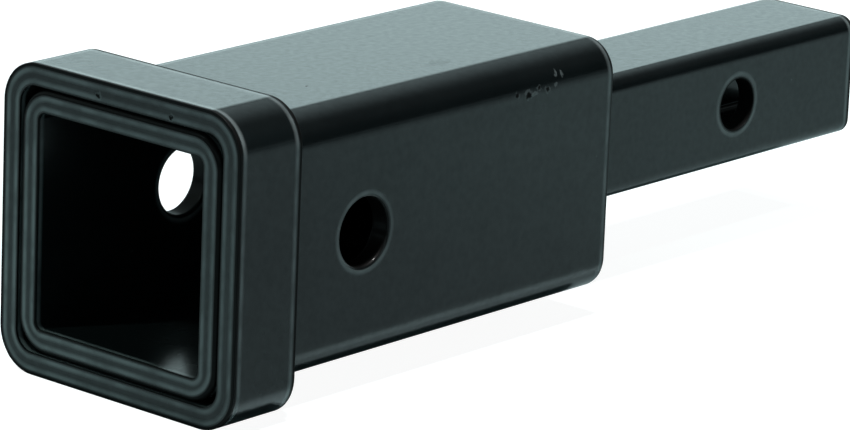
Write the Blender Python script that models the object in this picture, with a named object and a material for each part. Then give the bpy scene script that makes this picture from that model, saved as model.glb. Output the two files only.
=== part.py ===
"""Receiver adapter: a square receiver tube with a collar, stepped down to a smaller square shank.

Units are metres and +Z is up. X runs along the tube, from the mouth at the low end to the shank's
end. The origin is on the surface that the adapter lies on, below the middle of its length.
"""

import math

import bmesh
import bpy

# Receiver tube, measured from the mouth
TUBE_LENGTH = 0.140
TUBE_WIDTH = 0.0635
TUBE_WALL = 0.0056
TUBE_CORNER = 0.0086
TUBE_BORE_CORNER = 0.0020
TUBE_RIM = 0.0012
TUBE_BORE_RIM = 0.0004

# Collar round the mouth, with an open groove between it and the tube
COLLAR_LENGTH = 0.0205
COLLAR_WALL = 0.00535
COLLAR_GROOVE = 0.0005
COLLAR_BORE_CORNER = 0.0050
COLLAR_RIM = 0.0009
COLLAR_BORE_RIM = 0.0003

# End plate, let into the tube's rear end
PLATE_THICKNESS = 0.00635
PLATE_INSET = 0.0060
PLATE_RIM = 0.0004

# Shank, a square tube that goes through the plate
SHANK_REACH = 0.1205
SHANK_STUB = 0.0080
SHANK_WIDTH = 0.03175
SHANK_WALL = 0.00476
SHANK_CORNER = 0.0056
SHANK_BORE_CORNER = 0.0012
SHANK_RIM = 0.0009
SHANK_BORE_RIM = 0.0005

# Pin holes, each through both side walls. Both sit a little above the axis, by the rise
TUBE_PIN_HOLE = 0.0166
TUBE_PIN_FROM_MOUTH = 0.0496
SHANK_PIN_HOLE = 0.0136
SHANK_PIN_FROM_END = 0.0493
PIN_HOLE_RISE = 0.0006
PIN_HOLE_RIM = 0.0010

# Weld beads: length of a leg, height of the crown, and depth and spacing of the ripples
WELD_LEG = 0.0044
WELD_CROWN = 0.0008
WELD_RIPPLE = 0.0004
WELD_PITCH = 0.0040

# Clearance between pieces that touch
SEAT_GAP = 0.0003

# How finely curves are cut
CORNER_STEPS = 10
RIM_STEPS = 3
HOLE_STEPS = 48
CROWN_STEPS = 4

# Sizes that follow from the ones above
TUBE_BORE = TUBE_WIDTH - 2 * TUBE_WALL
COLLAR_BORE = TUBE_WIDTH + 2 * COLLAR_GROOVE
COLLAR_WIDTH = COLLAR_BORE + 2 * COLLAR_WALL
COLLAR_CORNER = COLLAR_BORE_CORNER + COLLAR_WALL
PLATE_REAR = TUBE_LENGTH - PLATE_INSET
PLATE_FRONT = PLATE_REAR - PLATE_THICKNESS
SHANK_BORE = SHANK_WIDTH - 2 * SHANK_WALL
SHANK_FRONT = PLATE_FRONT - SHANK_STUB
SHANK_END = TUBE_LENGTH + SHANK_REACH

# A bead is no larger than the room that its two faces leave it
COLLAR_WELD_LEG = min(WELD_LEG, COLLAR_GROOVE + COLLAR_WALL - COLLAR_RIM)
PLATE_WELD_LEG = min(WELD_LEG, (TUBE_BORE - SHANK_WIDTH) / 4 - SEAT_GAP)
INNER_WELD_LEG = min(PLATE_WELD_LEG, SHANK_STUB - SHANK_RIM)

# Linear colour of the dark powder coat
COAT_COLOUR = (0.028, 0.036, 0.038, 1.0)


def clear_scene():
    """Remove every object that the file opened with."""
    for item in list(bpy.data.objects):
        bpy.data.objects.remove(item, do_unlink=True)


def coat(name, roughness):
    """The dark powder coat, as it lies on one piece."""
    material = bpy.data.materials.new(name)
    material.use_nodes = True
    shader = material.node_tree.nodes["Principled BSDF"]
    shader.inputs["Base Color"].default_value = COAT_COLOUR
    shader.inputs["Roughness"].default_value = roughness
    shader.inputs["Metallic"].default_value = 0.0
    material.diffuse_color = COAT_COLOUR
    return material


def square_point(half, corner, step, corner_steps, side_steps):
    """Point number step on a rounded square round the X axis, as (y, z)."""
    quarter, rest = divmod(step, corner_steps + side_steps)
    flat = half - corner
    if rest <= corner_steps:
        turn = rest / corner_steps * math.pi / 2
        y = flat + corner * math.cos(turn)
        z = flat + corner * math.sin(turn)
    else:
        y = flat * (1 - 2 * (rest - corner_steps) / side_steps)
        z = half
    for _ in range(quarter):
        y, z = -z, y
    return y, z


def square_row(x, half, corner):
    """A rounded square across the X axis, with one straight edge on each side."""
    points = []
    for step in range(4 * (CORNER_STEPS + 1)):
        y, z = square_point(half, corner, step, CORNER_STEPS, 1)
        points.append((x, y, z))
    return points


def round_row(y, radius):
    """A circle across the Y axis."""
    points = []
    for step in range(HOLE_STEPS):
        turn = step / HOLE_STEPS * 2 * math.pi
        points.append((radius * math.cos(turn), y, radius * math.sin(turn)))
    return points


def loft(name, rows, closed):
    """Join equal rows of points into one solid object.

    A closed loft joins its last row to its first, as a pipe's bore joins its outside. An open one
    ends in a flat cap at each end.
    """
    form = bmesh.new()
    rings = [[form.verts.new(point) for point in row] for row in rows]
    pairs = list(zip(rings, rings[1:]))
    if closed:
        pairs.append((rings[-1], rings[0]))
    else:
        form.faces.new(rings[0])
        form.faces.new(rings[-1])
    for here, after in pairs:
        for low in range(len(here)):
            high = (low + 1) % len(here)
            form.faces.new((here[low], here[high], after[high], after[low]))
    bmesh.ops.recalc_face_normals(form, faces=form.faces)
    mesh = bpy.data.meshes.new(name)
    form.to_mesh(mesh)
    form.free()
    piece = bpy.data.objects.new(name, mesh)
    bpy.context.collection.objects.link(piece)
    return piece


def finish_piece(piece, mouth, x, material):
    """Place a piece x along from the mouth, colour it and shade its curves smooth."""
    piece.parent = mouth
    piece.location = (x, 0, 0)
    piece.data.materials.append(material)
    piece.data.shade_smooth()
    piece.data.set_sharp_from_angle(angle=math.radians(35))


def rim_arc(radius):
    """Points of a quarter-round edge, from the side to the end face.

    Each is a pair: how far it lies in from the end, and how far in from the side.
    """
    points = []
    for step in range(RIM_STEPS + 1):
        turn = step / RIM_STEPS * math.pi / 2
        points.append((radius * (1 - math.sin(turn)), radius * (1 - math.cos(turn))))
    return points


def square_pipe(name, length, outside, bore):
    """A length of square pipe from x = 0, with its end edges rounded inside and out.

    outside and bore are each three sizes: the width across the flats, the radius of the corners and
    the radius that the end edges are rounded to.
    """
    out_half, out_corner = outside[0] / 2, outside[1]
    bore_half, bore_corner = bore[0] / 2, bore[1]
    wall = out_half - bore_half
    out_arc = rim_arc(min(outside[2], 0.4 * wall, 0.9 * out_corner))
    bore_arc = rim_arc(min(bore[2], 0.4 * wall))
    rows = []
    for along, inward in reversed(out_arc):
        rows.append(square_row(along, out_half - inward, out_corner - inward))
    for along, inward in out_arc:
        rows.append(square_row(length - along, out_half - inward, out_corner - inward))
    for along, inward in reversed(bore_arc):
        rows.append(square_row(length - along, bore_half + inward, bore_corner + inward))
    for along, inward in bore_arc:
        rows.append(square_row(along, bore_half + inward, bore_corner + inward))
    return loft(name, rows, closed=True)


def flare(face, side, radius):
    """Profile of a pin hole's rounded edge, from the hole's wall to just outside the face.

    face is the face's place along Y, and side is +1 where the open air lies above it.
    """
    points = []
    for degrees in (0, 30, 60):
        turn = math.radians(degrees)
        y = face - side * PIN_HOLE_RIM * (1 - math.sin(turn))
        points.append((y, radius + PIN_HOLE_RIM * (1 - math.cos(turn))))
    last_turn = math.radians(60)
    y = points[-1][0] + side * PIN_HOLE_RIM / 2 * math.cos(last_turn)
    points.append((y, points[-1][1] + PIN_HOLE_RIM / 2 * math.sin(last_turn)))
    return points


def cut_pin_hole(piece, mouth, x, diameter, width, bore):
    """Cut a pin hole through both side walls of a square pipe, with its four edges rounded."""
    radius = diameter / 2
    upper = list(reversed(flare(bore / 2, -1, radius))) + flare(width / 2, 1, radius)
    upper.append((width / 2 + radius, upper[-1][1]))
    profile = [(-y, r) for y, r in reversed(upper)] + upper
    cutter = loft(piece.name + "_pin_cutter", [round_row(y, r) for y, r in profile], closed=False)
    cutter.parent = mouth
    cutter.location = (x, 0, PIN_HOLE_RISE)
    cutter.hide_render = True
    cutter.display_type = "WIRE"
    cut = piece.modifiers.new("pin_hole", "BOOLEAN")
    cut.object = cutter
    cut.operation = "DIFFERENCE"
    cut.solver = "EXACT"


def weld_bead(name, half, corner, along, across, leg):
    """A rippled fillet bead in the corner between a square wall and a face across it.

    The wall is a rounded square round the X axis and the face is the plane x = 0. along is the way
    that the bead stands off the face, and across is +1 on a pipe's outside and -1 in its bore.
    """
    corner_steps = 2 * max(1, round((corner + leg / 2) * math.pi / 2 / WELD_PITCH))
    side_steps = 2 * max(1, round(2 * (half - corner) / WELD_PITCH))
    pooled = 1.0 if across > 0 else 0.6
    section = [(0.0, 0.0)]
    for step in range(CROWN_STEPS + 1):
        share = step / CROWN_STEPS
        swell = WELD_CROWN * 4 * share * (1 - share)
        section.append((leg * (1 - share) + swell, leg * share + swell))
    rows = []
    for off_face, off_wall in section:
        row = []
        for step in range(4 * (corner_steps + side_steps)):
            shrink = 1 - WELD_RIPPLE / leg * (step % 2)
            away = SEAT_GAP + off_wall * shrink
            x = along * (SEAT_GAP + off_face * shrink)
            row_half = half + across * away
            row_corner = corner + pooled * away
            row.append((x, *square_point(row_half, row_corner, step, corner_steps, side_steps)))
        rows.append(row)
    return loft(name, rows, closed=True)


def make_tube(mouth):
    """The receiver tube, with its pin hole."""
    outside = (TUBE_WIDTH, TUBE_CORNER, TUBE_RIM)
    bore = (TUBE_BORE, TUBE_BORE_CORNER, TUBE_BORE_RIM)
    tube = square_pipe("receiver_tube", TUBE_LENGTH, outside, bore)
    finish_piece(tube, mouth, 0, coat("tube_coat", 0.32))
    cut_pin_hole(tube, mouth, TUBE_PIN_FROM_MOUTH, TUBE_PIN_HOLE, TUBE_WIDTH, TUBE_BORE)


def make_collar(mouth):
    """The collar, flush with the tube's mouth."""
    outside = (COLLAR_WIDTH, COLLAR_CORNER, COLLAR_RIM)
    bore = (COLLAR_BORE, COLLAR_BORE_CORNER, COLLAR_BORE_RIM)
    collar = square_pipe("collar", COLLAR_LENGTH, outside, bore)
    finish_piece(collar, mouth, 0, coat("collar_coat", 0.34))


def make_end_plate(mouth):
    """The plate that closes the tube's rear, with a square hole for the shank."""
    outside = (TUBE_BORE - 2 * SEAT_GAP, TUBE_BORE_CORNER - SEAT_GAP, PLATE_RIM)
    hole = (SHANK_WIDTH + 2 * SEAT_GAP, SHANK_CORNER + SEAT_GAP, PLATE_RIM)
    plate = square_pipe("end_plate", PLATE_THICKNESS, outside, hole)
    finish_piece(plate, mouth, PLATE_FRONT, coat("plate_coat", 0.40))


def make_shank(mouth):
    """The shank, from its stub inside the tube to its far end, with its pin hole."""
    outside = (SHANK_WIDTH, SHANK_CORNER, SHANK_RIM)
    bore = (SHANK_BORE, SHANK_BORE_CORNER, SHANK_BORE_RIM)
    shank = square_pipe("shank", SHANK_END - SHANK_FRONT, outside, bore)
    finish_piece(shank, mouth, SHANK_FRONT, coat("shank_coat", 0.32))
    pin = SHANK_END - SHANK_PIN_FROM_END
    cut_pin_hole(shank, mouth, pin, SHANK_PIN_HOLE, SHANK_WIDTH, SHANK_BORE)


def make_welds(mouth):
    """The four fillet beads that hold the collar, the plate and the shank."""
    material = coat("weld_coat", 0.45)
    bead = weld_bead("collar_weld", TUBE_WIDTH / 2, TUBE_CORNER, 1, 1, COLLAR_WELD_LEG)
    finish_piece(bead, mouth, COLLAR_LENGTH, material)
    bead = weld_bead("plate_weld", TUBE_BORE / 2, TUBE_BORE_CORNER, 1, -1, PLATE_WELD_LEG)
    finish_piece(bead, mouth, PLATE_REAR, material)
    bead = weld_bead("shank_weld", SHANK_WIDTH / 2, SHANK_CORNER, 1, 1, PLATE_WELD_LEG)
    finish_piece(bead, mouth, PLATE_REAR, material)
    bead = weld_bead("inner_weld", SHANK_WIDTH / 2, SHANK_CORNER, -1, 1, INNER_WELD_LEG)
    finish_piece(bead, mouth, PLATE_FRONT, material)


def main():
    """Build the adapter from its mouth to its shank."""
    clear_scene()
    mouth = bpy.data.objects.new("mouth_centre", None)
    mouth.location = (-SHANK_END / 2, 0, COLLAR_WIDTH / 2)
    bpy.context.collection.objects.link(mouth)
    make_tube(mouth)
    make_collar(mouth)
    make_end_plate(mouth)
    make_shank(mouth)
    make_welds(mouth)


main()
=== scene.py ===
import math

import bmesh
import bpy
from mathutils import Matrix, Vector


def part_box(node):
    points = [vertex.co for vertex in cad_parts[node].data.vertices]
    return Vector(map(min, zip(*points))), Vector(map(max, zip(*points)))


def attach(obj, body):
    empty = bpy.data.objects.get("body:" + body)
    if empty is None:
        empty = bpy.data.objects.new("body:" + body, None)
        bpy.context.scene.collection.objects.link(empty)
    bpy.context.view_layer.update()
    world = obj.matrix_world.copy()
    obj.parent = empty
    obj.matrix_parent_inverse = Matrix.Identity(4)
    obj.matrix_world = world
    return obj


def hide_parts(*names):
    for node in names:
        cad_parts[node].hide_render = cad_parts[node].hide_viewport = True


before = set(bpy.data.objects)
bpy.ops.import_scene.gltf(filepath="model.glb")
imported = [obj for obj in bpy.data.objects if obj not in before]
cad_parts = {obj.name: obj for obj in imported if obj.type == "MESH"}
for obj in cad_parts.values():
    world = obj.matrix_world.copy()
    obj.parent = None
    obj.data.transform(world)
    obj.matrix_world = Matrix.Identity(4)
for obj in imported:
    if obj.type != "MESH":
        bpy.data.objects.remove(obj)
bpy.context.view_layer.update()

# Places that the frame gives
tube_low, tube_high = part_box("receiver_tube")
collar_low, collar_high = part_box("collar")
plate_low, plate_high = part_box("end_plate")
shank_low, shank_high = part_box("shank")
collar_weld_low, collar_weld_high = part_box("collar_weld")
plate_weld_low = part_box("plate_weld")[0]
shank_weld_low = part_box("shank_weld")[0]
inner_weld_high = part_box("inner_weld")[1]

AXIS_HEIGHT = (tube_low.z + tube_high.z) / 2
MOUTH_X = tube_low.x
# The clearance that the solids leave between pieces that are welded or seated together
SEAT_GAP = 0.0003

# Receiver tube
TUBE_WIDTH = tube_high.y - tube_low.y
TUBE_BORE = plate_high.y - plate_low.y + 2 * SEAT_GAP
TUBE_CORNER = 0.0086
TUBE_BORE_CORNER = 0.0020
TUBE_RIM = 0.0012
TUBE_BORE_RIM = 0.0004
TUBE_PIN_HOLE = 0.0166
TUBE_PIN_X = MOUTH_X + 0.0496

# Collar
COLLAR_WIDTH = collar_high.y - collar_low.y
COLLAR_WALL = 0.00535
COLLAR_BORE = COLLAR_WIDTH - 2 * COLLAR_WALL
COLLAR_BORE_CORNER = 0.0050
COLLAR_CORNER = COLLAR_BORE_CORNER + COLLAR_WALL
COLLAR_RIM = 0.0009
COLLAR_BORE_RIM = 0.0003

# End plate
PLATE_RIM = 0.0004

# Shank
SHANK_WIDTH = shank_high.y - shank_low.y
SHANK_WALL = 0.00476
SHANK_BORE = SHANK_WIDTH - 2 * SHANK_WALL
SHANK_CORNER = 0.0042
SHANK_BORE_CORNER = 0.0012
SHANK_RIM = 0.0009
SHANK_BORE_RIM = 0.0005
SHANK_PIN_HOLE = 0.0136
SHANK_PIN_X = shank_high.x - 0.0493

PIN_HOLE_RISE = 0.0006
PIN_HOLE_RIM = 0.0010

# Weld beads: how far apart the frozen ripples are, their lean in degrees and the bead's grain
RIPPLE_PITCH = 0.0022
RIPPLE_LEAN = 20
BEAD_GRAIN = 0.00030

# Shares of a bead's leg: a ripple's half size across, along and out, how far its middle stands
# out of the corner, and the radius of the round root under it
RIPPLE_SHARES = (0.92, 0.80, 0.33)
RIPPLE_LIFT = 0.46
ROOT_RADIUS = 0.68

# How finely curves are cut
CORNER_SEGMENTS = 16
HOLE_SIDES = 96
RIM_SEGMENTS = 4
RIPPLE_SEGMENTS = 32
RIPPLE_RINGS = 16

# In degrees, the bend from which an edge gets a rounded rim, and the one at which a bead's
# shading breaks
SHARP_EDGE = 40
SHARP_RIPPLE = 50
# How far off a pipe's end an edge may lie and still belong to that end
END_SLACK = 1e-5

# Linear colours of the coat, of the painted highlight beside its edges and of its pale scuffs, of
# the dust in it, and of its dark nicks and the painted shade on its rim roundings and pin hole
# walls
COAT_COLOUR = (0.0042, 0.0062, 0.0066, 1)
EDGE_HIGHLIGHT_AND_SCUFF_COLOUR = (0.105, 0.124, 0.126, 1)
DUST_COLOUR = (0.060, 0.070, 0.070, 1)
NICK_AND_SHADE_COLOUR = (0.002, 0.002, 0.002, 1)

# The coat under its glossy top, and the top itself
COAT_ROUGHNESS = 0.25
PLATE_ROUGHNESS = 0.32
BEAD_ROUGHNESS = 0.34
SPECULAR_LEVEL = 0.1
GLOSS = 0.90
GLOSS_ROUGHNESS = 0.15

# How far the coat's shade, roughness and gloss wander over a piece
SHADE_SPREAD = 0.25
ROUGHNESS_DRIFT = 0.15
GLOSS_DRIFT = 0.2
GLOSS_MOTTLE = 0.5

# Orange peel: its depth, how many times finer its second layer is, and that layer's share
PEEL_DEPTH = 0.00003
BEAD_PEEL_DEPTH = 0.00006
FINE_PEEL = 3.6
FINE_PEEL_SHARE = 0.22

# The middle that a noise wanders round, and how soft a dust speck's edge is
NOISE_MIDDLE = 0.5
SPECK_BLUR = 0.03

# The painted highlight beside an edge, a pale line measured from the rounding: where it is full,
# starts to fade and ends. The line round a pin hole starts early, on the rounding itself.
# LINE_LEAST is the strength of the line's faintest stretches.
LINE_FULL = 0.0005
LINE_FADE = 0.0007
LINE_END = 0.0018
PIN_LINE_EARLY = 0.0005
ROUNDING_BLUR = 0.0002
LINE_PATCH_SCALE = 130.0
LINE_PATCHES = (0.3, 0.65)
LINE_LEAST = 0.5

# How far from its wall the dull finish of a pin hole, which also carries painted shade, and of a
# bore ends, and where it is full
PIN_WALL_FINISH = (0.0004, 0.0001)
BORE_FINISH = (0.0006, 0.0001)

# How much roughness a hole's finish adds, how much gloss it takes, and a bore's share of both
HOLE_DULLNESS = 0.30
HOLE_GLOSS_LOSS = 0.9
BORE_SHARE = 0.05

# Marks: the noise that makes them ragged, and the levels between which the mark, its ring and the
# patches that break up the ring rise from nothing to full
RAGGED_SCALE = 1500.0
RAGGED_DETAIL = 4.0
RAGGED_REACH = 2.4
MARK_LEVELS = (1.75, 1.35)
RING_LEVELS = (2.9, 2.0)
PATCH_SCALE = 700.0
PATCH_LEVELS = (0.42, 0.58)
NICK_RING = 0.45
NICK_DULLNESS = 0.4
SCUFF_STRENGTH = 0.6
SMUDGE_LOSS = 0.2

# Where the marks are: each has a centre, a length along the adapter and a width
TUBE_NICKS = (
    ((-0.0231, -0.0317, 0.0614), 0.0015, 0.0012),
    ((-0.0272, -0.0317, 0.0619), 0.0008, 0.0008),
    ((-0.0190, -0.0316, 0.0625), 0.0009, 0.0007),
    ((-0.0160, -0.0317, 0.0616), 0.0010, 0.0010),
    ((-0.0807, -0.0119, 0.0693), 0.0007, 0.0007),
)
TUBE_SCUFFS = (
    ((-0.0205, -0.0317, 0.0613), 0.0018, 0.0008),
    ((-0.0127, -0.0316, 0.0622), 0.0010, 0.0009),
    ((-0.0121, -0.0308, 0.0649), 0.0009, 0.0014),
    ((-0.0100, -0.0309, 0.0643), 0.0007, 0.0013),
)
TUBE_SMUDGES = (
    ((-0.0399, -0.0175, 0.0693), 0.0060, 0.0030),
    ((-0.0967, -0.0128, 0.0693), 0.0050, 0.0030),
)
COLLAR_NICKS = (
    ((-0.1302, 0.0072, 0.0715), 0.0012, 0.0010),
    ((-0.1302, -0.0158, 0.0711), 0.0011, 0.0009),
)
COLLAR_SMUDGES = (((-0.1154, -0.0250, 0.0752), 0.0030, 0.0020),)

# Camera, found from the photograph's edges: distances in metres and angles in degrees
CAMERA_AZIMUTH = -139.53
CAMERA_ELEVATION = 15.86
CAMERA_ROLL = 2.39
CAMERA_DISTANCE = 1.2524
CAMERA_AIM = Vector((-0.01542, 0.0058, 0.02197))
SENSOR_WIDTH = 36.0
FOCAL_LENGTH = 214.71

# The floor: as lamps and mirrors see it, and how white the camera sees it
FLOOR_SIZE = 60
FLOOR_COLOUR = (0.185, 0.244, 0.252, 1)
FLOOR_WHITE = 0.94

# Lamps, each with its place first and its power in watts last. The key lamp has a width, the strip
# lamp a length and a width, and the pool lamps the place that they aim at and a cone in degrees.
KEY_LAMP = ((0, -0.21, 2.99), 0.30, 119)
STRIP_LAMP = ((-0.052, -0.0395, 0.35), 0.175, 0.0070, 0.0056)
STRIP_SPREAD = 1
FRONT_LAMP = ((-0.80, 0.45, 1.20), (-0.20, 0.10, 0), 14, 50)
REAR_LAMP = ((0.35, -0.65, 1.25), (0.185, -0.13, 0), 15, 38)
POOL_COLOUR = (0.78, 1.0, 0.94)
POOL_LAMP_RADIUS = 0.03

# Light panels round the adapter, in degrees: the middle's azimuth, half the width, the lowest and
# highest elevation, the softness of the side, lower and upper edges, and the colour
PANELS = (
    (45, 50, 1, 18, (12, 2, 6), (0.80, 1.04, 1.06)),
    (45, 20, 29, 50, (48, 5, 15), (0.26, 0.34, 0.35)),
    (-40, 60, -2, 3, (10, 1, 2), (0.12, 0.16, 0.17)),
    (180, 95, 14, 32, (20, 6, 8), (0.34, 0.44, 0.45)),
    (0, 180, 30, 90, (1, 10, 1), (0.02, 0.02, 0.02)),
)


def deselect_all():
    """Leave object mode with nothing selected."""
    if bpy.context.object and bpy.context.object.mode != "OBJECT":
        bpy.ops.object.mode_set(mode="OBJECT")
    bpy.ops.object.select_all(action="DESELECT")


def make_active(piece):
    """Select one piece alone."""
    deselect_all()
    piece.select_set(True)
    bpy.context.view_layer.objects.active = piece


def apply_modifier(piece, name):
    """Apply one of a piece's modifiers."""
    make_active(piece)
    bpy.ops.object.modifier_apply(modifier=name)


def add_square_bar(name, x_low, x_high, width, corner):
    """A square bar along the adapter's axis, with its long edges rounded."""
    deselect_all()
    centre = ((x_low + x_high) / 2, 0, AXIS_HEIGHT)
    bpy.ops.mesh.primitive_cube_add(size=1, location=centre, scale=(x_high - x_low, width, width))
    bar = bpy.context.object
    bar.name = name
    bpy.ops.object.transform_apply(location=True, rotation=True, scale=True)
    bpy.ops.object.mode_set(mode="EDIT")
    bpy.ops.mesh.select_mode(type="EDGE")
    bpy.ops.mesh.select_all(action="DESELECT")
    form = bmesh.from_edit_mesh(bar.data)
    for edge in form.edges:
        run = edge.verts[0].co - edge.verts[1].co
        edge.select = abs(run.x) > max(abs(run.y), abs(run.z))
    bmesh.update_edit_mesh(bar.data)
    bpy.ops.mesh.bevel(offset=corner, segments=CORNER_SEGMENTS, affect="EDGES")
    bpy.ops.object.mode_set(mode="OBJECT")
    return bar


def add_cross_rod(name, x, diameter, reach):
    """A round rod across the adapter's axis, where a pin goes."""
    deselect_all()
    bpy.ops.mesh.primitive_cylinder_add(
        vertices=HOLE_SIDES,
        radius=diameter / 2,
        depth=reach,
        location=(x, 0, AXIS_HEIGHT + PIN_HOLE_RISE),
        rotation=(math.pi / 2, 0, 0),
    )
    rod = bpy.context.object
    rod.name = name
    bpy.ops.object.transform_apply(location=True, rotation=True, scale=True)
    return rod


def combine(piece, other, operation):
    """Cut another solid out of a piece, or keep only what lies in it, and remove the other."""
    cut = piece.modifiers.new("cut", "BOOLEAN")
    cut.object = other
    cut.operation = operation
    cut.solver = "EXACT"
    apply_modifier(piece, cut.name)
    bpy.data.objects.remove(other, do_unlink=True)


def round_rims(piece, outer, inner, hole, divide):
    """Round a piece's sharp edges, and keep its flat faces flat to the light.

    outer and inner are the radii at the ends' outer and inner edges, and divide is the distance
    from the axis that parts them. hole is the radius round the pin holes.
    """
    widest = max(outer, inner, hole)
    make_active(piece)
    ends = [min(v.co.x for v in piece.data.vertices), max(v.co.x for v in piece.data.vertices)]
    form = bmesh.new()
    form.from_mesh(piece.data)
    weights = form.edges.layers.float.new("bevel_weight_edge")
    for edge in form.edges:
        if edge.calc_face_angle(0) < math.radians(SHARP_EDGE):
            continue
        middle = (edge.verts[0].co + edge.verts[1].co) / 2
        reach = max(abs(middle.y), abs(middle.z - AXIS_HEIGHT))
        if min(abs(middle.x - end) for end in ends) > END_SLACK:
            edge[weights] = hole / widest
        elif reach > divide:
            edge[weights] = outer / widest
        else:
            edge[weights] = inner / widest
    form.to_mesh(piece.data)
    form.free()
    rims = piece.modifiers.new("rims", "BEVEL")
    rims.width = widest
    rims.segments = RIM_SEGMENTS
    rims.limit_method = "WEIGHT"
    rims.use_clamp_overlap = True
    apply_modifier(piece, rims.name)
    make_active(piece)
    bpy.ops.object.shade_smooth()
    flats = piece.modifiers.new("flats", "WEIGHTED_NORMAL")
    flats.weight = 100
    apply_modifier(piece, flats.name)


def add_square_pipe(name, x_low, x_high, outside, bore):
    """A length of square pipe. outside and bore are each a width and a corner radius."""
    pipe = add_square_bar(name, x_low, x_high, *outside)
    # The hollow's bar reaches a tenth of the width past both ends
    margin = outside[0] / 10
    hollow = add_square_bar(name + "_hollow", x_low - margin, x_high + margin, *bore)
    combine(pipe, hollow, "DIFFERENCE")
    return pipe


def make_tube():
    """The receiver tube with its pin hole."""
    outside = (TUBE_WIDTH, TUBE_CORNER)
    bore = (TUBE_BORE, TUBE_BORE_CORNER)
    tube = add_square_pipe("tube_skin", tube_low.x, tube_high.x, outside, bore)
    rod = add_cross_rod("tube_pin", TUBE_PIN_X, TUBE_PIN_HOLE, 2 * TUBE_WIDTH)
    combine(tube, rod, "DIFFERENCE")
    round_rims(tube, TUBE_RIM, TUBE_BORE_RIM, PIN_HOLE_RIM, (TUBE_WIDTH + TUBE_BORE) / 4)
    return tube


def make_collar():
    """The collar round the mouth."""
    outside = (COLLAR_WIDTH, COLLAR_CORNER)
    bore = (COLLAR_BORE, COLLAR_BORE_CORNER)
    collar = add_square_pipe("collar_skin", collar_low.x, collar_high.x, outside, bore)
    round_rims(collar, COLLAR_RIM, COLLAR_BORE_RIM, 0, (COLLAR_WIDTH + COLLAR_BORE) / 4)
    return collar


def make_end_plate():
    """The plate that closes the tube's rear round the shank."""
    outside = (plate_high.y - plate_low.y, TUBE_BORE_CORNER - SEAT_GAP)
    hole = (SHANK_WIDTH + 2 * SEAT_GAP, SHANK_CORNER + SEAT_GAP)
    plate = add_square_pipe("plate_skin", plate_low.x, plate_high.x, outside, hole)
    round_rims(plate, PLATE_RIM, PLATE_RIM, 0, (outside[0] + hole[0]) / 4)
    return plate


def make_shank():
    """The shank with its pin hole."""
    outside = (SHANK_WIDTH, SHANK_CORNER)
    bore = (SHANK_BORE, SHANK_BORE_CORNER)
    shank = add_square_pipe("shank_skin", shank_low.x, shank_high.x, outside, bore)
    rod = add_cross_rod("shank_pin", SHANK_PIN_X, SHANK_PIN_HOLE, 2 * SHANK_WIDTH)
    combine(shank, rod, "DIFFERENCE")
    round_rims(shank, SHANK_RIM, SHANK_BORE_RIM, PIN_HOLE_RIM, (SHANK_WIDTH + SHANK_BORE) / 4)
    return shank


def bead_stations(half, corner):
    """Places along a rounded square, one ripple apart, as (y, z, direction of travel)."""
    flat = half - corner
    side = 2 * flat
    bend = corner * math.pi / 2
    around = 4 * (side + bend)
    count = round(around / RIPPLE_PITCH)
    stations = []
    for number in range(count):
        quarter, rest = divmod(number * around / count, side + bend)
        if rest < side:
            y, z, travel = half, rest - flat, math.pi / 2
        else:
            turn = (rest - side) / corner
            y = flat + corner * math.cos(turn)
            z = flat + corner * math.sin(turn)
            travel = math.pi / 2 + turn
        for _ in range(int(quarter)):
            y, z = -z, y
        stations.append((y, z, travel + quarter * math.pi / 2))
    return stations


def make_bead(name, face, along, half, corner, leg, outward):
    """A rippled fillet bead in the corner between a square wall and a face across the axis.

    face is the face's place along X, and along (1 or -1) is the way that the bead stands off it.
    half and corner are the wall's size with the clearance added. outward is 1 where the wall is a
    pipe's outside and -1 where it is a bore. Each ripple is a flat ellipsoid leaned back along the
    bead, over a round root.
    """
    deselect_all()
    bpy.ops.mesh.primitive_uv_sphere_add(
        segments=RIPPLE_SEGMENTS, ring_count=RIPPLE_RINGS, radius=1
    )
    ripple = bpy.context.object
    # Unit directions in the ripple's own frame: along the bead, out of the corner and across
    travel_way = Vector((0, 1, 0))
    out_way = Vector((along, 0, -outward)).normalized()
    across_way = travel_way.cross(out_way)
    basis = Matrix((across_way, travel_way, out_way)).transposed().to_4x4()
    lean = Matrix.Rotation(math.radians(RIPPLE_LEAN), 4, "X")
    ripples = []
    for y, z, travel in bead_stations(half, corner):
        turn = Matrix.Translation((face, y, AXIS_HEIGHT + z)) @ Matrix.Rotation(travel, 4, "X")
        puddle = Matrix.Diagonal((*(share * leg for share in RIPPLE_SHARES), 1))
        lift = Matrix.Translation((0, 0, RIPPLE_LIFT * leg))
        shapes = (
            turn @ basis @ lift @ lean @ puddle,
            turn @ Matrix.Scale(ROOT_RADIUS * leg, 4),
        )
        for shape in shapes:
            copy = ripple.copy()
            copy.data = ripple.data.copy()
            bpy.context.collection.objects.link(copy)
            copy.matrix_world = shape
            ripples.append(copy)
    bpy.data.objects.remove(ripple, do_unlink=True)
    deselect_all()
    for copy in ripples:
        copy.select_set(True)
    bpy.context.view_layer.objects.active = ripples[0]
    bpy.ops.object.join()
    bead = bpy.context.object
    bead.name = name
    bpy.ops.object.transform_apply(location=True, rotation=True, scale=True)
    fuse = bead.modifiers.new("fuse", "REMESH")
    fuse.mode = "VOXEL"
    fuse.voxel_size = BEAD_GRAIN
    apply_modifier(bead, fuse.name)
    x_low, x_high = sorted((face, face + along * leg))
    if outward == 1:
        room = (2 * (half + leg), corner + leg)
        keep = add_square_pipe(name + "_room", x_low, x_high, room, (2 * half, corner))
    else:
        keep = add_square_bar(name + "_room", x_low, x_high, 2 * half, corner)
    combine(bead, keep, "INTERSECT")
    make_active(bead)
    bpy.ops.object.shade_smooth_by_angle(angle=math.radians(SHARP_RIPPLE))
    return bead


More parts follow.
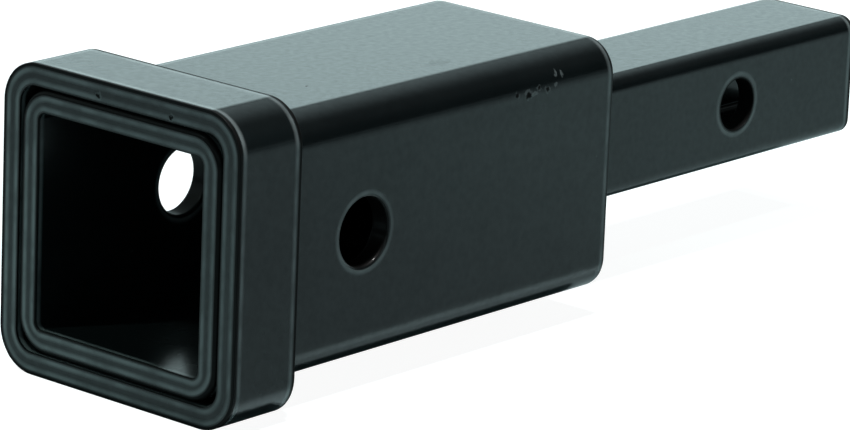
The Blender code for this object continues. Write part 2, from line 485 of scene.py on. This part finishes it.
def make_beads():
    """The four fillet beads."""
    leg = collar_weld_high.x - collar_weld_low.x
    tube_half = TUBE_WIDTH / 2 + SEAT_GAP
    tube_corner = TUBE_CORNER + SEAT_GAP
    bore_half = TUBE_BORE / 2 - SEAT_GAP
    bore_corner = TUBE_BORE_CORNER - SEAT_GAP
    shank_half = SHANK_WIDTH / 2 + SEAT_GAP
    shank_corner = SHANK_CORNER + SEAT_GAP
    return (
        make_bead("collar_bead", collar_weld_low.x, 1, tube_half, tube_corner, leg, 1),
        make_bead("plate_bead", plate_weld_low.x, 1, bore_half, bore_corner, leg, -1),
        make_bead("shank_bead", shank_weld_low.x, 1, shank_half, shank_corner, leg, 1),
        make_bead("inner_bead", inner_weld_high.x, -1, shank_half, shank_corner, leg, 1),
    )


def sum_node(tree, operation, *values):
    """One sum in a node tree, of numbers or of other nodes' outputs."""
    node = tree.nodes.new("ShaderNodeMath")
    node.operation = operation
    for socket, value in zip(node.inputs, values):
        if isinstance(value, (int, float)):
            socket.default_value = value
        else:
            tree.links.new(value, socket)
    return node.outputs[0]


def step_node(tree, value, low, high):
    """A smooth step from 0 at low to 1 at high."""
    node = tree.nodes.new("ShaderNodeMapRange")
    node.interpolation_type = "SMOOTHSTEP"
    tree.links.new(value, node.inputs["Value"])
    node.inputs["From Min"].default_value = low
    node.inputs["From Max"].default_value = high
    return node.outputs["Result"]


def mix_colour(tree, share, first, second):
    """Blend two colours, each a colour or an output."""
    node = tree.nodes.new("ShaderNodeMix")
    node.data_type = "RGBA"
    tree.links.new(share, node.inputs["Factor"])
    # A Mix node's colour sockets are its seventh and eighth, and its colour output the third
    for socket, value in ((node.inputs[6], first), (node.inputs[7], second)):
        if isinstance(value, tuple):
            socket.default_value = value
        else:
            tree.links.new(value, socket)
    return node.outputs[2]


def new_group(name, values, outputs):
    """A shader node group that takes a position and some values. Returns its tree and its ends."""
    tree = bpy.data.node_groups.new(name, "ShaderNodeTree")
    tree.interface.new_socket(name="Position", in_out="INPUT", socket_type="NodeSocketVector")
    for socket, value in values:
        kind = "NodeSocketVector" if isinstance(value, tuple) else "NodeSocketFloat"
        made = tree.interface.new_socket(name=socket, in_out="INPUT", socket_type=kind)
        made.default_value = value
    for socket in outputs:
        tree.interface.new_socket(name=socket, in_out="OUTPUT", socket_type="NodeSocketFloat")
    return tree, tree.nodes.new("NodeGroupInput"), tree.nodes.new("NodeGroupOutput")


def place_group(tree, group, position, values=None):
    """Put a group in a node tree, with its own values."""
    node = tree.nodes.new("ShaderNodeGroup")
    node.node_tree = group
    tree.links.new(position, node.inputs["Position"])
    for name, value in (values or {}).items():
        if isinstance(value, (int, float, tuple)):
            node.inputs[name].default_value = value
        else:
            tree.links.new(value, node.inputs[name])
    return node


def build_square_distance():
    """Distance from a rounded square round the adapter's axis, negative inside it."""
    tree, start, end = new_group(
        "square_distance", (("Half Width", 0.03), ("Corner", 0.005)), ("Distance",)
    )
    split = tree.nodes.new("ShaderNodeSeparateXYZ")
    tree.links.new(start.outputs["Position"], split.inputs[0])
    up = sum_node(tree, "SUBTRACT", split.outputs["Z"], AXIS_HEIGHT)
    flat = sum_node(tree, "SUBTRACT", start.outputs["Half Width"], start.outputs["Corner"])
    past = []
    squares = []
    for side in (split.outputs["Y"], up):
        past.append(sum_node(tree, "SUBTRACT", sum_node(tree, "ABSOLUTE", side), flat))
        beyond = sum_node(tree, "MAXIMUM", past[-1], 0.0)
        squares.append(sum_node(tree, "MULTIPLY", beyond, beyond))
    outside = sum_node(tree, "SQRT", sum_node(tree, "ADD", *squares))
    inside = sum_node(tree, "MINIMUM", sum_node(tree, "MAXIMUM", *past), 0.0)
    total = sum_node(tree, "ADD", outside, inside)
    distance = sum_node(tree, "SUBTRACT", total, start.outputs["Corner"])
    tree.links.new(distance, end.inputs["Distance"])
    return tree


def build_edge_finish(square_distance):
    """Where a painted highlight lines a pipe's edges, and where the coat is dull: on them and in
    holes, with painted shade on the roundings and pin hole walls.
    """
    tree, start, end = new_group(
        "edge_finish_and_painted_light",
        (
            ("Low End", 0.0), ("High End", 0.1),
            ("Outer Half", 0.03), ("Outer Corner", 0.008), ("Outer Rim", 0.001),
            ("Bore Half", 0.02), ("Bore Corner", 0.002), ("Bore Rim", 0.0004),
            ("Pin Place", 0.0), ("Pin Radius", 0.0), ("Pin Rim", 0.0007),
        ),
        ("Painted Edge Highlight", "Rounding", "Pin Wall", "Bore"),
    )
    position = start.outputs["Position"]
    split = tree.nodes.new("ShaderNodeSeparateXYZ")
    tree.links.new(position, split.inputs[0])
    along = split.outputs["X"]
    pin_up = sum_node(tree, "SUBTRACT", split.outputs["Z"], AXIS_HEIGHT + PIN_HOLE_RISE)
    depths = []
    for kind in ("Outer", "Bore"):
        sizes = {
            "Half Width": start.outputs[kind + " Half"],
            "Corner": start.outputs[kind + " Corner"],
        }
        square = place_group(tree, square_distance, position, sizes)
        depths.append(square.outputs["Distance"])
    outer_depth = sum_node(tree, "MULTIPLY", depths[0], -1.0)
    bore_depth = depths[1]
    from_low = sum_node(tree, "SUBTRACT", along, start.outputs["Low End"])
    from_high = sum_node(tree, "SUBTRACT", start.outputs["High End"], along)
    end_depth = sum_node(tree, "MINIMUM", from_low, from_high)
    run = sum_node(tree, "SUBTRACT", along, start.outputs["Pin Place"])
    run_square = sum_node(tree, "MULTIPLY", run, run)
    from_pin = sum_node(tree, "SQRT", sum_node(tree, "MULTIPLY_ADD", pin_up, pin_up, run_square))
    pin_depth = sum_node(tree, "SUBTRACT", from_pin, start.outputs["Pin Radius"])
    skin_depth = sum_node(tree, "MINIMUM", outer_depth, bore_depth)
    edges = (
        (outer_depth, end_depth, "Outer Rim", 0.0),
        (bore_depth, end_depth, "Bore Rim", 0.0),
        (skin_depth, pin_depth, "Pin Rim", PIN_LINE_EARLY),
    )
    # The pale line gathered beside each edge is a painted highlight
    edge_highlight = None
    rounding = None
    for first, second, rim, early in edges:
        nearest = sum_node(tree, "MAXIMUM", first, second)
        past_edge = sum_node(tree, "SUBTRACT", nearest, start.outputs[rim])
        past_rim = sum_node(tree, "ADD", past_edge, early)
        rise = step_node(tree, past_rim, 0.0, LINE_FULL)
        fall = step_node(tree, past_rim, LINE_END, LINE_FADE)
        line = sum_node(tree, "MULTIPLY", rise, fall)
        curve = step_node(tree, past_rim, 0.0, -ROUNDING_BLUR)
        edge_highlight = line if edge_highlight is None else sum_node(tree, "MAXIMUM", edge_highlight, line)
        rounding = curve if rounding is None else sum_node(tree, "MAXIMUM", rounding, curve)
    uneven = tree.nodes.new("ShaderNodeTexNoise")
    uneven.inputs["Scale"].default_value = LINE_PATCH_SCALE
    tree.links.new(position, uneven.inputs["Vector"])
    patches = step_node(tree, uneven.outputs["Fac"], *LINE_PATCHES)
    strength = sum_node(tree, "MULTIPLY_ADD", patches, 1 - LINE_LEAST, LINE_LEAST)
    not_rounded = sum_node(tree, "SUBTRACT", strength, rounding)
    shown = sum_node(tree, "MAXIMUM", not_rounded, 0.0)
    tree.links.new(sum_node(tree, "MULTIPLY", edge_highlight, shown), end.inputs["Painted Edge Highlight"])
    # The Rounding and Pin Wall masks also carry painted shade on the roundings and pin hole walls
    tree.links.new(rounding, end.inputs["Rounding"])
    off_pin_wall = sum_node(tree, "ABSOLUTE", pin_depth)
    tree.links.new(step_node(tree, off_pin_wall, *PIN_WALL_FINISH), end.inputs["Pin Wall"])
    tree.links.new(step_node(tree, bore_depth, *BORE_FINISH), end.inputs["Bore"])
    return tree


def build_coat_grain():
    """The coat's orange peel as a height, and its slow drift in gloss and shade."""
    tree, start, end = new_group(
        "coat_grain", (("Peel Scale", 620.0), ("Drift Scale", 34.0)), ("Height", "Mottle", "Drift")
    )
    noises = []
    fine_scale = sum_node(tree, "MULTIPLY", start.outputs["Peel Scale"], FINE_PEEL)
    for scale, detail in (
        (start.outputs["Peel Scale"], 2.0),
        (fine_scale, 3.0),
        (start.outputs["Drift Scale"], 4.0),
    ):
        noise = tree.nodes.new("ShaderNodeTexNoise")
        noise.inputs["Detail"].default_value = detail
        tree.links.new(start.outputs["Position"], noise.inputs["Vector"])
        tree.links.new(scale, noise.inputs["Scale"])
        noises.append(noise.outputs["Fac"])
    height = sum_node(tree, "MULTIPLY_ADD", noises[1], FINE_PEEL_SHARE, noises[0])
    tree.links.new(height, end.inputs["Height"])
    tree.links.new(sum_node(tree, "SUBTRACT", noises[0], NOISE_MIDDLE), end.inputs["Mottle"])
    tree.links.new(sum_node(tree, "SUBTRACT", noises[2], NOISE_MIDDLE), end.inputs["Drift"])
    return tree


def build_dust_specks():
    """Small specks of dust caught in the coat."""
    tree, start, end = new_group(
        "dust_specks", (("Cell Scale", 230.0), ("Share", 0.12), ("Size", 0.055)), ("Speck",)
    )
    cells = tree.nodes.new("ShaderNodeTexVoronoi")
    tree.links.new(start.outputs["Position"], cells.inputs["Vector"])
    tree.links.new(start.outputs["Cell Scale"], cells.inputs["Scale"])
    chance = tree.nodes.new("ShaderNodeTexWhiteNoise")
    tree.links.new(cells.outputs["Position"], chance.inputs["Vector"])
    chosen = sum_node(tree, "LESS_THAN", chance.outputs["Value"], start.outputs["Share"])
    edge = sum_node(tree, "SUBTRACT", start.outputs["Size"], cells.outputs["Distance"])
    dot = step_node(tree, edge, 0.0, SPECK_BLUR)
    tree.links.new(sum_node(tree, "MULTIPLY", chosen, dot), end.inputs["Speck"])
    return tree


def build_coat_mark():
    """One small ragged mark at a stated place, with a broken ring round it."""
    tree, start, end = new_group(
        "coat_mark",
        (("Centre", (0.0, 0.0, 0.0)), ("Length", 0.001), ("Width", 0.001)),
        ("Mark", "Ring"),
    )
    offset = tree.nodes.new("ShaderNodeVectorMath")
    offset.operation = "SUBTRACT"
    tree.links.new(start.outputs["Position"], offset.inputs[0])
    tree.links.new(start.outputs["Centre"], offset.inputs[1])
    split = tree.nodes.new("ShaderNodeSeparateXYZ")
    tree.links.new(offset.outputs["Vector"], split.inputs[0])
    total = None
    for side, size in (("X", "Length"), ("Y", "Width"), ("Z", "Width")):
        share = sum_node(tree, "DIVIDE", split.outputs[side], start.outputs[size])
        square = sum_node(tree, "MULTIPLY", share, share)
        total = square if total is None else sum_node(tree, "ADD", total, square)
    ragged = tree.nodes.new("ShaderNodeTexNoise")
    ragged.inputs["Scale"].default_value = RAGGED_SCALE
    ragged.inputs["Detail"].default_value = RAGGED_DETAIL
    tree.links.new(start.outputs["Position"], ragged.inputs["Vector"])
    patches = tree.nodes.new("ShaderNodeTexNoise")
    patches.inputs["Scale"].default_value = PATCH_SCALE
    tree.links.new(start.outputs["Position"], patches.inputs["Vector"])
    spread = sum_node(tree, "MULTIPLY_ADD", ragged.outputs["Fac"], RAGGED_REACH, total)
    mark = step_node(tree, spread, *MARK_LEVELS)
    tree.links.new(mark, end.inputs["Mark"])
    ring = sum_node(tree, "SUBTRACT", step_node(tree, spread, *RING_LEVELS), mark)
    kept = step_node(tree, patches.outputs["Fac"], *PATCH_LEVELS)
    tree.links.new(sum_node(tree, "MULTIPLY", ring, kept), end.inputs["Ring"])
    return tree


square_distance = build_square_distance()
edge_finish_and_painted_light = build_edge_finish(square_distance)
coat_grain = build_coat_grain()
dust_specks = build_dust_specks()
coat_mark = build_coat_mark()


def place_mark(tree, place, mark):
    """Put one mark, stated as its centre, length and width, in a node tree."""
    centre, length, width = mark
    return place_group(tree, coat_mark, place, {"Centre": centre, "Length": length, "Width": width})


def make_coat(
    name, edges=None, nicks=(), scuffs=(), smudges=(), peel=PEEL_DEPTH, roughness=COAT_ROUGHNESS
):
    """The semi-gloss dark powder coat.

    edges gives the edge finish's values on a length of pipe, whose masks also lay a painted
    highlight beside its edges and painted shade on its roundings and pin hole walls. nicks are
    small black spots with a pale ring, scuffs are pale spots and smudges are dull patches.
    """
    material = bpy.data.materials.new(name)
    material.use_nodes = True
    tree = material.node_tree
    shader = tree.nodes["Principled BSDF"]
    shader.inputs["Specular IOR Level"].default_value = SPECULAR_LEVEL
    shader.inputs["Coat Roughness"].default_value = GLOSS_ROUGHNESS
    place = tree.nodes.new("ShaderNodeTexCoord").outputs["Object"]
    grain = place_group(tree, coat_grain, place)
    specks = place_group(tree, dust_specks, place)

    drift = sum_node(tree, "ADD", grain.outputs["Drift"], NOISE_MIDDLE)
    shade = sum_node(tree, "ADD", grain.outputs["Mottle"], drift)
    darker = tuple((1 - SHADE_SPREAD) * part for part in COAT_COLOUR)
    lighter = tuple((1 + SHADE_SPREAD) * part for part in COAT_COLOUR)
    colour = mix_colour(tree, shade, darker, lighter)
    colour = mix_colour(tree, specks.outputs["Speck"], colour, DUST_COLOUR)
    dull = sum_node(tree, "MULTIPLY_ADD", grain.outputs["Drift"], ROUGHNESS_DRIFT, roughness)
    gloss = sum_node(tree, "MULTIPLY_ADD", grain.outputs["Drift"], GLOSS_DRIFT, GLOSS)
    gloss = sum_node(tree, "MULTIPLY_ADD", grain.outputs["Mottle"], GLOSS_MOTTLE, gloss)
    gloss = sum_node(tree, "MINIMUM", gloss, 1.0)
    if edges:
        finish = place_group(tree, edge_finish_and_painted_light, place, edges)
        # A painted highlight: the pale line beside each edge
        colour = mix_colour(tree, finish.outputs["Painted Edge Highlight"], colour, EDGE_HIGHLIGHT_AND_SCUFF_COLOUR)
        # Painted shade: the roundings and pin hole walls are darkened to the nick colour
        hole = sum_node(tree, "MAXIMUM", finish.outputs["Rounding"], finish.outputs["Pin Wall"])
        colour = mix_colour(tree, hole, colour, NICK_AND_SHADE_COLOUR)
        bore = sum_node(tree, "MULTIPLY", finish.outputs["Bore"], BORE_SHARE)
        loss = sum_node(tree, "MAXIMUM", hole, bore)
        dull = sum_node(tree, "MULTIPLY_ADD", loss, HOLE_DULLNESS, dull)
        kept = sum_node(tree, "MULTIPLY_ADD", loss, -HOLE_GLOSS_LOSS, 1.0)
        gloss = sum_node(tree, "MULTIPLY", gloss, kept)
    for nick in nicks:
        spot = place_mark(tree, place, nick)
        black = spot.outputs["Mark"]
        pale = sum_node(tree, "MULTIPLY", spot.outputs["Ring"], NICK_RING)
        colour = mix_colour(tree, pale, colour, EDGE_HIGHLIGHT_AND_SCUFF_COLOUR)
        colour = mix_colour(tree, black, colour, NICK_AND_SHADE_COLOUR)
        dull = sum_node(tree, "MULTIPLY_ADD", black, NICK_DULLNESS, dull)
        gloss = sum_node(tree, "MULTIPLY", gloss, sum_node(tree, "SUBTRACT", 1.0, black))
    for scuff in scuffs:
        spot = place_mark(tree, place, scuff)
        pale = sum_node(tree, "MULTIPLY", spot.outputs["Mark"], SCUFF_STRENGTH)
        colour = mix_colour(tree, pale, colour, EDGE_HIGHLIGHT_AND_SCUFF_COLOUR)
    for smudge in smudges:
        spot = place_mark(tree, place, smudge)
        kept = sum_node(tree, "MULTIPLY_ADD", spot.outputs["Mark"], -SMUDGE_LOSS, 1.0)
        gloss = sum_node(tree, "MULTIPLY", gloss, kept)
    bump = tree.nodes.new("ShaderNodeBump")
    bump.inputs["Distance"].default_value = peel
    tree.links.new(grain.outputs["Height"], bump.inputs["Height"])
    tree.links.new(colour, shader.inputs["Base Color"])
    tree.links.new(dull, shader.inputs["Roughness"])
    tree.links.new(gloss, shader.inputs["Coat Weight"])
    tree.links.new(bump.outputs["Normal"], shader.inputs["Normal"])
    return material


def pipe_edges(low, high, outer, bore, pin_place=0.0, pin_hole=-2.0):
    """The values of the edge finish, with its painted highlight and shade, for a length of pipe.
    outer and bore are width, corner and rim.

    A pipe without a pin hole gets a radius below zero, so that no place is near its rim.
    """
    return {
        "Low End": low, "High End": high,
        "Outer Half": outer[0] / 2, "Outer Corner": outer[1], "Outer Rim": outer[2],
        "Bore Half": bore[0] / 2, "Bore Corner": bore[1], "Bore Rim": bore[2],
        "Pin Place": pin_place, "Pin Radius": pin_hole / 2, "Pin Rim": PIN_HOLE_RIM,
    }


def make_camera():
    """The camera at the photograph's place and angle."""
    azimuth = math.radians(CAMERA_AZIMUTH)
    elevation = math.radians(CAMERA_ELEVATION)
    roll = math.radians(CAMERA_ROLL)
    back = Vector((
        math.cos(elevation) * math.cos(azimuth),
        math.cos(elevation) * math.sin(azimuth),
        math.sin(elevation),
    ))
    level_right = Vector((0, 0, 1)).cross(back).normalized()
    level_up = back.cross(level_right)
    right = math.cos(roll) * level_right + math.sin(roll) * level_up
    up = -math.sin(roll) * level_right + math.cos(roll) * level_up
    turn = Matrix((right, up, back)).transposed()
    deselect_all()
    bpy.ops.object.camera_add()
    camera = bpy.context.object
    camera.name = "photo_camera"
    camera.matrix_world = Matrix.Translation(CAMERA_AIM + CAMERA_DISTANCE * back) @ turn.to_4x4()
    camera.data.sensor_fit = "HORIZONTAL"
    camera.data.sensor_width = SENSOR_WIDTH
    camera.data.lens = FOCAL_LENGTH
    bpy.context.scene.camera = camera


def make_floor():
    """The floor: white to the camera, with the adapter's faint shadow on it."""
    deselect_all()
    bpy.ops.mesh.primitive_plane_add(size=FLOOR_SIZE)
    floor = bpy.context.object
    floor.name = "floor"
    material = bpy.data.materials.new("studio_floor")
    material.use_nodes = True
    tree = material.node_tree
    tree.nodes.clear()
    output = tree.nodes.new("ShaderNodeOutputMaterial")
    path = tree.nodes.new("ShaderNodeLightPath")
    matt = tree.nodes.new("ShaderNodeBsdfDiffuse")
    matt.inputs["Color"].default_value = FLOOR_COLOUR
    glow = tree.nodes.new("ShaderNodeEmission")
    white = sum_node(tree, "MULTIPLY", path.outputs["Is Camera Ray"], FLOOR_WHITE)
    total = tree.nodes.new("ShaderNodeAddShader")
    tree.links.new(white, glow.inputs["Strength"])
    tree.links.new(matt.outputs[0], total.inputs[0])
    tree.links.new(glow.outputs[0], total.inputs[1])
    tree.links.new(total.outputs[0], output.inputs["Surface"])
    floor.data.materials.append(material)


def panel_colour(tree, azimuth, elevation, centre, half, low, high, soft, colour):
    """A soft-edged light panel in the surroundings, as one colour output. Angles are in degrees."""
    turned = sum_node(tree, "SUBTRACT", azimuth, math.radians(centre))
    wrapped = sum_node(tree, "WRAP", turned, math.pi, -math.pi)
    aside = sum_node(tree, "ABSOLUTE", wrapped)
    across = step_node(tree, aside, math.radians(half + soft[0]), math.radians(half))
    lower = step_node(tree, elevation, math.radians(low - soft[1]), math.radians(low))
    upper = step_node(tree, elevation, math.radians(high + soft[2]), math.radians(high))
    share = sum_node(tree, "MULTIPLY", sum_node(tree, "MULTIPLY", across, lower), upper)
    tint = tree.nodes.new("ShaderNodeVectorMath")
    tint.operation = "SCALE"
    tint.inputs[0].default_value = colour
    tree.links.new(share, tint.inputs["Scale"])
    return tint.outputs["Vector"]


def make_world():
    """Soft light panels in dark surroundings."""
    world = bpy.data.worlds.new("studio")
    bpy.context.scene.world = world
    world.use_nodes = True
    tree = world.node_tree
    tree.nodes.clear()
    output = tree.nodes.new("ShaderNodeOutputWorld")
    sky = tree.nodes.new("ShaderNodeBackground")
    place = tree.nodes.new("ShaderNodeTexCoord")
    split = tree.nodes.new("ShaderNodeSeparateXYZ")
    tree.links.new(place.outputs["Generated"], split.inputs[0])
    azimuth = sum_node(tree, "ARCTAN2", split.outputs["Y"], split.outputs["X"])
    elevation = sum_node(tree, "ARCSINE", split.outputs["Z"])
    light = None
    for panel in PANELS:
        colour = panel_colour(tree, azimuth, elevation, *panel)
        if light is None:
            light = colour
            continue
        join = tree.nodes.new("ShaderNodeVectorMath")
        join.operation = "ADD"
        tree.links.new(light, join.inputs[0])
        tree.links.new(colour, join.inputs[1])
        light = join.outputs["Vector"]
    tree.links.new(light, sky.inputs["Color"])
    tree.links.new(sky.outputs[0], output.inputs["Surface"])


def make_strip_lamp(name, place, length, width, power):
    """A strip lamp that shines straight down, past the adapter's near side onto the floor."""
    deselect_all()
    bpy.ops.object.light_add(type="AREA", location=place)
    lamp = bpy.context.object
    lamp.name = name
    lamp.visible_glossy = False
    lamp.data.shape = "RECTANGLE"
    lamp.data.size = length
    lamp.data.size_y = width
    lamp.data.spread = math.radians(STRIP_SPREAD)
    lamp.data.energy = power


def make_pool_lamp(name, place, aim, angle, power):
    """A soft-edged spot lamp that lights one pool of the floor, which the coat mirrors."""
    deselect_all()
    bpy.ops.object.light_add(type="SPOT", location=place)
    lamp = bpy.context.object
    lamp.name = name
    lamp.data.color = POOL_COLOUR
    lamp.data.spot_size = math.radians(angle)
    lamp.data.spot_blend = 1.0
    lamp.data.shadow_soft_size = POOL_LAMP_RADIUS
    lamp.data.energy = power
    lamp.rotation_euler = (Vector(aim) - Vector(place)).to_track_quat("-Z", "Y").to_euler()


def make_key_lamp(name, place, size, power):
    """A square soft lamp high over the adapter, aimed at it."""
    deselect_all()
    bpy.ops.object.light_add(type="AREA", location=place)
    lamp = bpy.context.object
    lamp.name = name
    lamp.data.size = size
    lamp.data.energy = power
    lamp.rotation_euler = (-Vector(place)).to_track_quat("-Z", "Y").to_euler()


def dress(piece, node, material):
    """Give a piece its material and its place in the part."""
    piece.data.materials.clear()
    piece.data.materials.append(material)
    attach(piece, "root")
    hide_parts(node)


tube_coat = make_coat(
    "tube_powder_coat",
    pipe_edges(
        tube_low.x,
        tube_high.x,
        (TUBE_WIDTH, TUBE_CORNER, TUBE_RIM),
        (TUBE_BORE, TUBE_BORE_CORNER, TUBE_BORE_RIM),
        TUBE_PIN_X,
        TUBE_PIN_HOLE,
    ),
    nicks=TUBE_NICKS,
    scuffs=TUBE_SCUFFS,
    smudges=TUBE_SMUDGES,
)
collar_coat = make_coat(
    "collar_powder_coat",
    pipe_edges(
        collar_low.x,
        collar_high.x,
        (COLLAR_WIDTH, COLLAR_CORNER, COLLAR_RIM),
        (COLLAR_BORE, COLLAR_BORE_CORNER, COLLAR_BORE_RIM),
    ),
    nicks=COLLAR_NICKS,
    smudges=COLLAR_SMUDGES,
)
plate_coat = make_coat("plate_powder_coat", roughness=PLATE_ROUGHNESS)
shank_coat = make_coat(
    "shank_powder_coat",
    pipe_edges(
        shank_low.x,
        shank_high.x,
        (SHANK_WIDTH, SHANK_CORNER, SHANK_RIM),
        (SHANK_BORE, SHANK_BORE_CORNER, SHANK_BORE_RIM),
        SHANK_PIN_X,
        SHANK_PIN_HOLE,
    ),
)
bead_coat = make_coat("bead_powder_coat", peel=BEAD_PEEL_DEPTH, roughness=BEAD_ROUGHNESS)

dress(make_tube(), "receiver_tube", tube_coat)
dress(make_collar(), "collar", collar_coat)
dress(make_end_plate(), "end_plate", plate_coat)
dress(make_shank(), "shank", shank_coat)
for bead, node in zip(make_beads(), ("collar_weld", "plate_weld", "shank_weld", "inner_weld")):
    dress(bead, node, bead_coat)

make_camera()
make_floor()
make_world()
make_key_lamp("key_lamp", *KEY_LAMP)
make_strip_lamp("strip_lamp", *STRIP_LAMP)
make_pool_lamp("front_lamp", *FRONT_LAMP)
make_pool_lamp("rear_lamp", *REAR_LAMP)

scene = bpy.context.scene
scene.view_settings.view_transform = "Standard"
